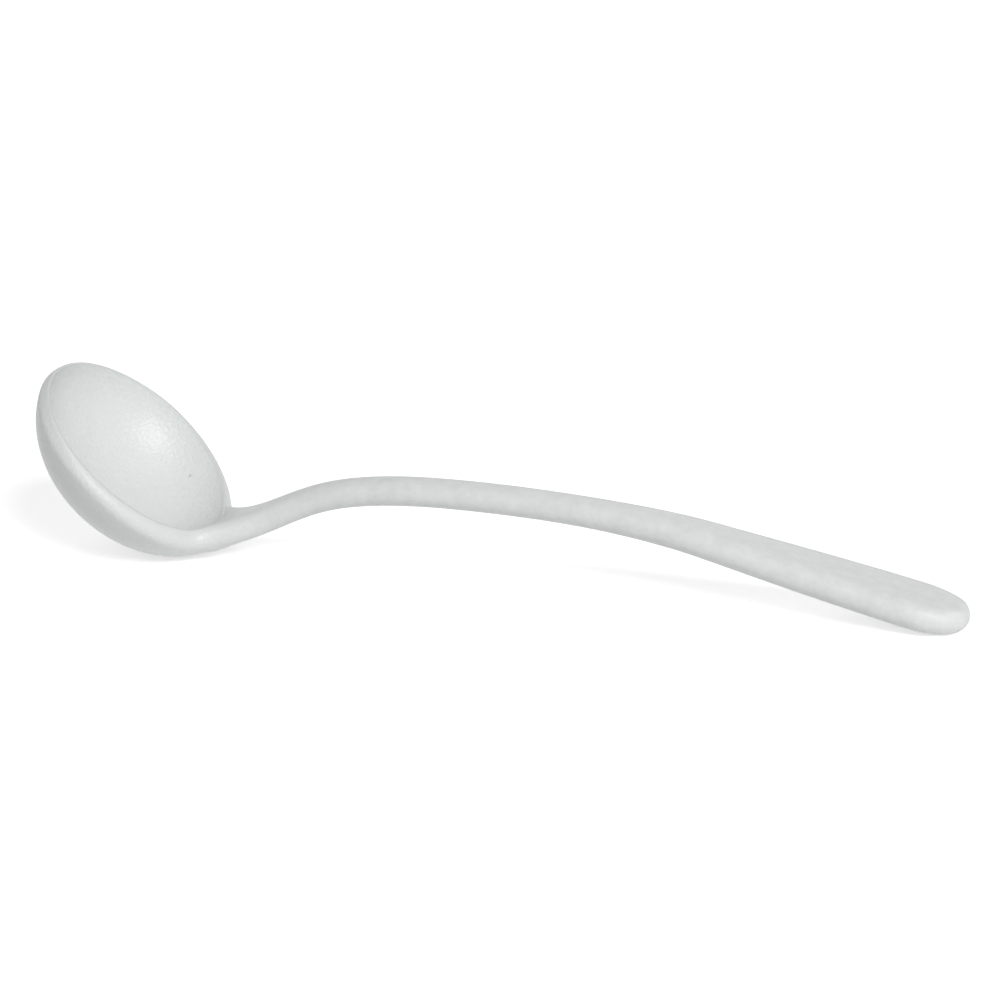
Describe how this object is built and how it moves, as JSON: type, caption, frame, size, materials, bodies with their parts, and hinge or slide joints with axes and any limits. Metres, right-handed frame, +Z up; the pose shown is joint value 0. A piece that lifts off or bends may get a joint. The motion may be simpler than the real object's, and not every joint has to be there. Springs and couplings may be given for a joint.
{
  "type": "ladle",
  "caption": "Small serving ladle with a tilted round bowl and a bent handle that widens into a flat grip, white textured coat over one cast metal body.",
  "frame": {"origin": "on the table under the middle of the ladle's length and width, as it lies on its bowl and the end of its grip", "axes": "+X from the bowl to the end of the grip, +Z up from the table, the bowl's mouth facing up and towards +X"},
  "size_m": [0.295, 0.0746, 0.0567],
  "materials": {
    "white_coat": "satin off-white resin coat with a fine orange-peel surface",
    "cast_aluminium": "raw sand-cast aluminium, hidden under the coat"
  },
  "bodies": {
    "root": {"bowl_coat": "white_coat", "handle_coat": "white_coat", "cast_core": "cast_aluminium"}
  },
  "joints": []
}
